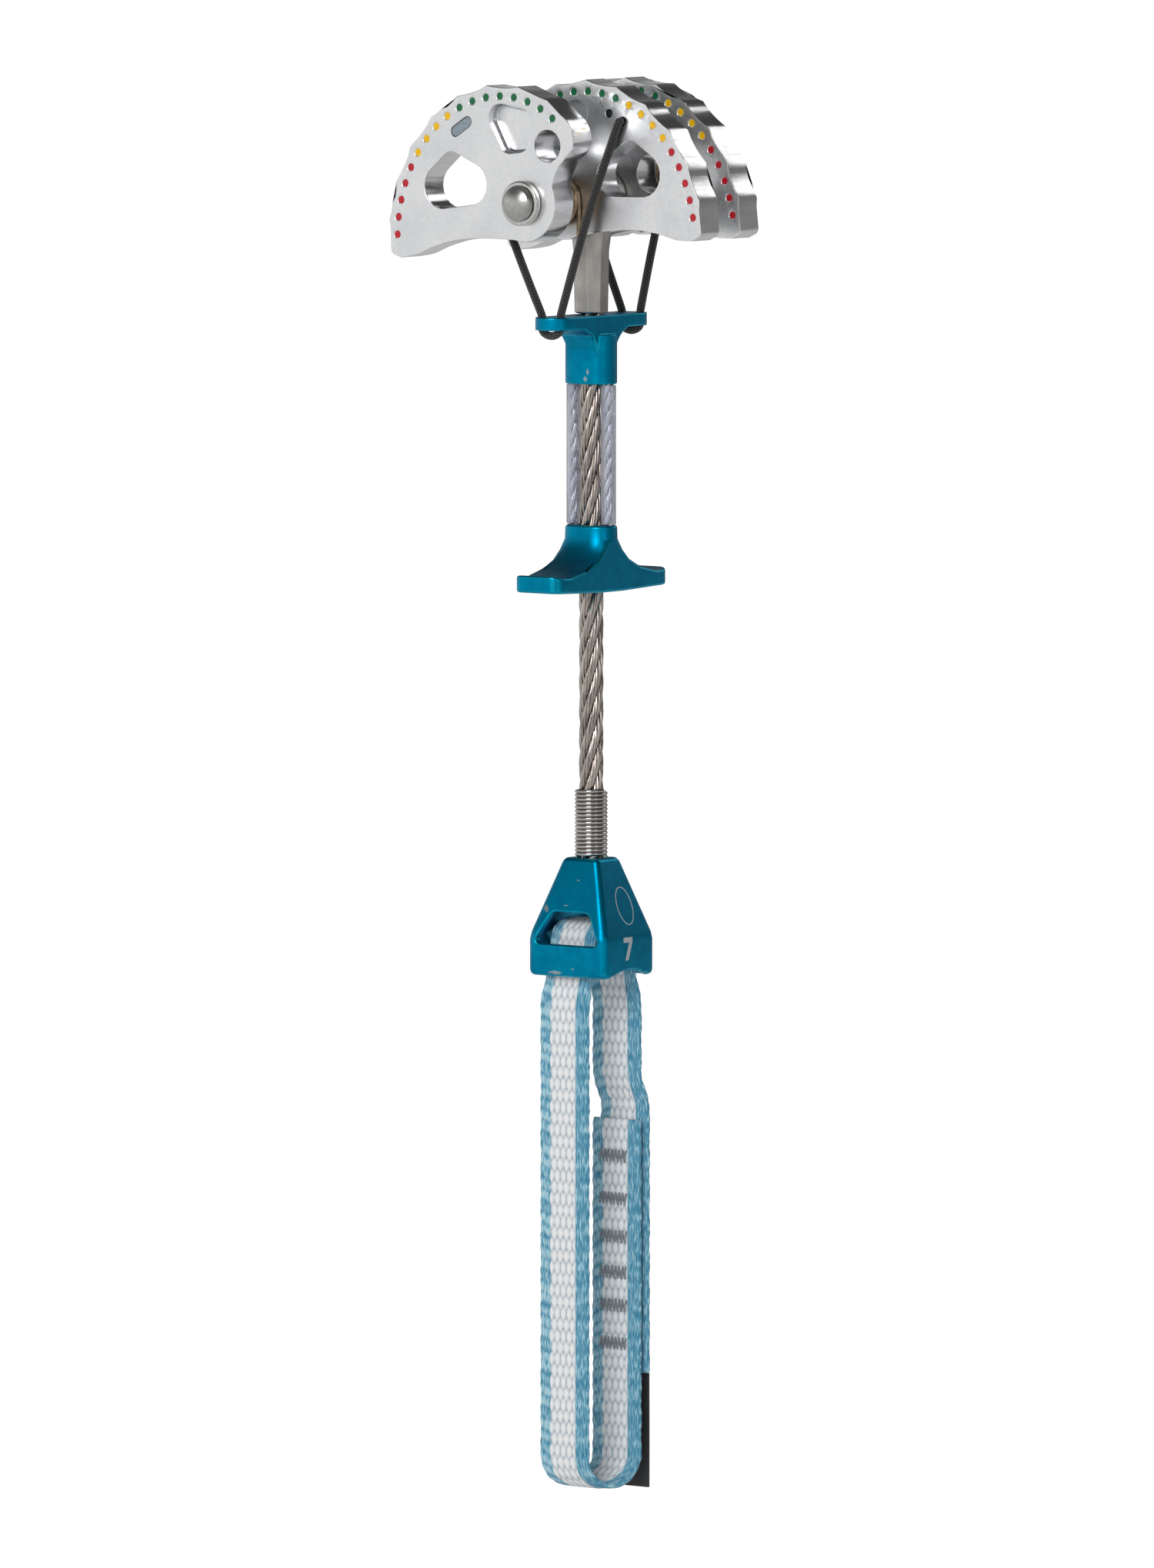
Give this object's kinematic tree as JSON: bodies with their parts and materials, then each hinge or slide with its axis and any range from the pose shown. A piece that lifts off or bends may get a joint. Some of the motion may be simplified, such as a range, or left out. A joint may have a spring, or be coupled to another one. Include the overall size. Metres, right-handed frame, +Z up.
{
  "type": "spring-loaded camming device",
  "caption": "Rock-climbing cam with spring-loaded toothed lobes on an axle, a cable stem with a sliding finger trigger, and a sewn webbing sling.",
  "frame": {"origin": "centre of the lobes' axle, which the lobes hold in a crack", "axes": "+Z up the stem away from the sling, Y along the axle, X the way the lobes open; the front lobes are at -Y"},
  "size_m": [0.0634, 0.0484, 0.2632],
  "materials": {
    "polished_alloy": "polished",
    "bright_steel": "polished",
    "stem_steel": "satin",
    "cable_steel": "satin",
    "bronze_wire": "satin",
    "teal_anodised": "anodised",
    "black_cord": "matte",
    "clear_tube": "smooth",
    "blue_webbing": "woven",
    "black_label": "woven",
    "anchor_grey": "satin"
  },
  "bodies": {
    "stem": {"axle": "bright_steel", "washer_front": "bright_steel", "washer_back": "bright_steel", "spacer_bush_front": "stem_steel", "spacer_bush_back": "stem_steel", "torsion_spring_front": "bronze_wire", "torsion_spring_back": "bronze_wire", "stem_head": "stem_steel", "stem_cable": "cable_steel", "coil_sleeve": "bright_steel", "terminal_block": "teal_anodised", "crossbar": "bright_steel", "cable_stop": "bright_steel"},
    "trigger": {"trigger_upper_bar": "teal_anodised", "trigger_lower_bar": "teal_anodised", "trigger_wire_left": "cable_steel", "trigger_wire_right": "cable_steel", "clear_tube_left": "clear_tube", "clear_tube_right": "clear_tube", "cord_loop_front": "black_cord", "cord_loop_back": "black_cord"},
    "sling": {"sling_webbing": "blue_webbing", "label_tag": "black_label"},
    "front_outer_lobe": {"lobe_front_outer": "polished_alloy", "cord_anchor_front_outer": "anchor_grey"},
    "front_outer_cord": {"cord_leg_front_outer": "black_cord"},
    "front_inner_lobe": {"lobe_front_inner": "polished_alloy", "cord_anchor_front_inner": "anchor_grey"},
    "front_inner_cord": {"cord_leg_front_inner": "black_cord"},
    "back_outer_lobe": {"lobe_back_outer": "polished_alloy", "cord_anchor_back_outer": "anchor_grey"},
    "back_outer_cord": {"cord_leg_back_outer": "black_cord"},
    "back_inner_lobe": {"lobe_back_inner": "polished_alloy", "cord_anchor_back_inner": "anchor_grey"},
    "back_inner_cord": {"cord_leg_back_inner": "black_cord"}
  },
  "joints": [
    {"name": "trigger_slide", "type": "slide", "parent": "stem", "child": "trigger", "axis": [0, 0, -1], "range_m": [0, 0.0266], "stiffness_N_per_m": 500, "springref_m": -0.01},
    {"name": "sling_swing", "type": "hinge", "parent": "stem", "child": "sling", "pos_m": [0, 0, -0.1378], "axis": [1, 0, 0], "range_deg": [-5, 5]},
    {"name": "front_outer_lobe_turn", "type": "hinge", "parent": "stem", "child": "front_outer_lobe", "pos_m": [0, 0, 0], "axis": [0, -1, 0], "range_deg": [0, 80.4]},
    {"name": "front_inner_lobe_turn", "type": "hinge", "parent": "stem", "child": "front_inner_lobe", "pos_m": [0, 0, 0], "axis": [0, 1, 0], "range_deg": [0, 84.8]},
    {"name": "front_outer_cord_turn", "type": "hinge", "parent": "trigger", "child": "front_outer_cord", "pos_m": [-0.0022, -0.0123, -0.021], "axis": [0, -1, 0], "range_deg": [-0.9, 0]},
    {"name": "front_inner_cord_turn", "type": "hinge", "parent": "trigger", "child": "front_inner_cord", "pos_m": [0.0022, -0.0123, -0.021], "axis": [0, 1, 0], "range_deg": [0, 4]},
    {"name": "back_outer_lobe_turn", "type": "hinge", "parent": "stem", "child": "back_outer_lobe", "pos_m": [0, 0, 0], "axis": [0, -1, 0], "range_deg": [0, 80.4]},
    {"name": "back_inner_lobe_turn", "type": "hinge", "parent": "stem", "child": "back_inner_lobe", "pos_m": [0, 0, 0], "axis": [0, 1, 0], "range_deg": [0, 84.8]},
    {"name": "back_outer_cord_turn", "type": "hinge", "parent": "trigger", "child": "back_outer_cord", "pos_m": [-0.0022, 0.0123, -0.021], "axis": [0, -1, 0], "range_deg": [-0.9, 0]},
    {"name": "back_inner_cord_turn", "type": "hinge", "parent": "trigger", "child": "back_inner_cord", "pos_m": [0.0022, 0.0123, -0.021], "axis": [0, 1, 0], "range_deg": [0, 4]}
  ],
  "couplings": [
    {"joint": "front_outer_lobe_turn", "follows": "trigger_slide", "rad_per_m": 52.69},
    {"joint": "front_inner_lobe_turn", "follows": "trigger_slide", "rad_per_m": 55.592},
    {"joint": "front_outer_cord_turn", "follows": "trigger_slide", "rad_per_m": -0.5595},
    {"joint": "front_inner_cord_turn", "follows": "trigger_slide", "rad_per_m": 2.5813},
    {"joint": "back_outer_lobe_turn", "follows": "trigger_slide", "rad_per_m": 52.69},
    {"joint": "back_inner_lobe_turn", "follows": "trigger_slide", "rad_per_m": 55.592},
    {"joint": "back_outer_cord_turn", "follows": "trigger_slide", "rad_per_m": -0.5595},
    {"joint": "back_inner_cord_turn", "follows": "trigger_slide", "rad_per_m": 2.5813}
  ]
}
